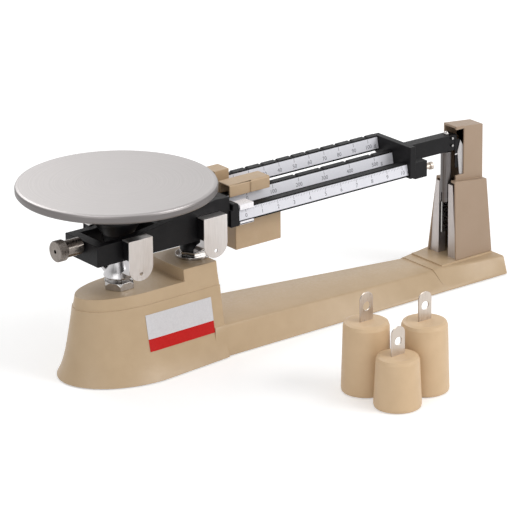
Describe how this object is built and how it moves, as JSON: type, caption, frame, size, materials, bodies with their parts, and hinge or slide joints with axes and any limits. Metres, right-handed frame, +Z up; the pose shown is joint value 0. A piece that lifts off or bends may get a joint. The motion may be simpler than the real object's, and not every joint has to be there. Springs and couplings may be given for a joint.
{
  "type": "triple beam balance",
  "caption": "Mechanical beam balance with a round steel pan on knife edges, graduated bars with sliding poises, a pointer tower, a cast base and separate hanging masses.",
  "frame": {"origin": "on the table, straight under the centre of the pan", "axes": "+X from the pan to the pointer tower, +Y to the back, away from the graduated faces, +Z up"},
  "size_m": [0.4382, 0.2846, 0.1496],
  "materials": {
    "base_paint": "satin enamel",
    "tower_paint": "satin enamel",
    "black_paint": "semi-matt stove enamel",
    "pan_steel": "fine brushed stainless steel",
    "cover_steel": "satin stainless sheet",
    "plate_grey": "satin grey sheet",
    "nut_chrome": "bright plated",
    "fork_zinc": "satin cast metal",
    "agate": "polished agate, opaque",
    "knife_steel": "ground hardened steel",
    "scale_face": "matt white anodised strip",
    "rubber": "moulded rubber",
    "link_steel": "bright pressed steel",
    "screw_steel": "plated steel",
    "rider_white": "white moulding",
    "poise_paint": "satin enamel",
    "mass_paint": "satin enamel",
    "magnet": "sintered",
    "copper_vane": "bare sheet",
    "indicator_white": "white plate",
    "under_steel": "black sheet"
  },
  "bodies": {
    "base": {"base_casting": "base_paint", "bottom_cover": "under_steel", "rubber_feet": "rubber", "foot_screws": "screw_steel", "guide_nut": "nut_chrome", "fulcrum_nut": "nut_chrome", "fulcrum_stirrup": "fork_zinc", "fulcrum_bearing_blocks": "black_paint", "fulcrum_agates": "agate", "fulcrum_bearing_covers": "cover_steel", "check_rod_pin": "knife_steel", "tower_housing": "tower_paint", "front_side_plate": "plate_grey", "rear_side_plate": "plate_grey", "indicator_plate": "indicator_white", "magnet_yoke": "link_steel", "damper_magnets": "magnet"},
    "beam": {"beam_casting": "black_paint", "pan_knife_edges": "knife_steel", "fulcrum_knife_edges": "knife_steel", "front_beam": "black_paint", "middle_beam": "black_paint", "rear_beam": "black_paint", "front_scale": "scale_face", "middle_scale": "scale_face", "rear_scale": "scale_face", "cross_plate": "black_paint", "pointer_stem": "black_paint", "hanger_pins": "knife_steel", "damper_rod": "nut_chrome", "damper_vane": "copper_vane", "zero_stud": "screw_steel"},
    "trim": {"trim_screw": "screw_steel"},
    "knob": {"zero_knob": "nut_chrome"},
    "pan_yoke": {"pan_stirrup": "fork_zinc", "pan_bearing_blocks": "black_paint", "pan_agates": "agate", "pan_bearing_covers": "cover_steel", "pan_post": "link_steel", "pan_support": "black_paint", "link_pin": "knife_steel"},
    "pan": {"pan_plate": "pan_steel", "pan_hub": "pan_steel"},
    "check_link": {"check_rod": "link_steel"},
    "rear_slider": {"rear_poise": "poise_paint"},
    "middle_slider": {"middle_poise_hood": "poise_paint", "middle_poise_weight": "poise_paint"},
    "front_slider": {"front_rider": "rider_white"},
    "left_mass": {"left_mass_body": "mass_paint", "left_mass_tab": "screw_steel"},
    "right_mass": {"right_mass_body": "mass_paint", "right_mass_tab": "screw_steel"},
    "small_mass": {"small_mass_body": "mass_paint", "small_mass_tab": "screw_steel"}
  },
  "joints": [
    {"name": "beam_swing", "type": "hinge", "parent": "base", "child": "beam", "pos_m": [0.07, 0, 0.103], "axis": [0, 1, 0], "range_deg": [-0.9, 1.6]},
    {"name": "pan_level", "type": "hinge", "parent": "beam", "child": "pan_yoke", "pos_m": [0, 0, 0.103], "axis": [0, 1, 0], "range_deg": [-1.6, 0.9]},
    {"name": "check_rod_swing", "type": "hinge", "parent": "base", "child": "check_link", "pos_m": [0.07, 0, 0.014], "axis": [0, 1, 0], "range_deg": [-0.9, 1.6]},
    {"name": "pan_lift", "type": "slide", "parent": "pan_yoke", "child": "pan", "axis": [0, 0, 1], "range_m": [0, 0.03]},
    {"name": "rear_poise_slide", "type": "slide", "parent": "beam", "child": "rear_slider", "axis": [1, 0, 0], "range_m": [0, 0.1503]},
    {"name": "middle_poise_slide", "type": "slide", "parent": "beam", "child": "middle_slider", "axis": [1, 0, 0], "range_m": [0, 0.128]},
    {"name": "front_rider_slide", "type": "slide", "parent": "beam", "child": "front_slider", "axis": [1, 0, 0], "range_m": [0, 0.155]},
    {"name": "zero_knob_turn", "type": "hinge", "parent": "beam", "child": "knob", "pos_m": [-0.05, 0, 0.107], "axis": [1, 0, 0], "continuous": true},
    {"name": "trim_screw_turn", "type": "hinge", "parent": "beam", "child": "trim", "pos_m": [0.29, -0.018, 0.1036], "axis": [1, 0, 0], "continuous": true},
    {"name": "left_mass_lift", "type": "slide", "parent": "base", "child": "left_mass", "axis": [0, 0, 1], "range_m": [0, 0.12]},
    {"name": "right_mass_lift", "type": "slide", "parent": "base", "child": "right_mass", "axis": [0, 0, 1], "range_m": [0, 0.12]},
    {"name": "small_mass_lift", "type": "slide", "parent": "base", "child": "small_mass", "axis": [0, 0, 1], "range_m": [0, 0.12]}
  ],
  "couplings": [
    {"joint": "pan_level", "follows": "beam_swing", "ratio": -1},
    {"joint": "check_rod_swing", "follows": "beam_swing", "ratio": 1}
  ]
}
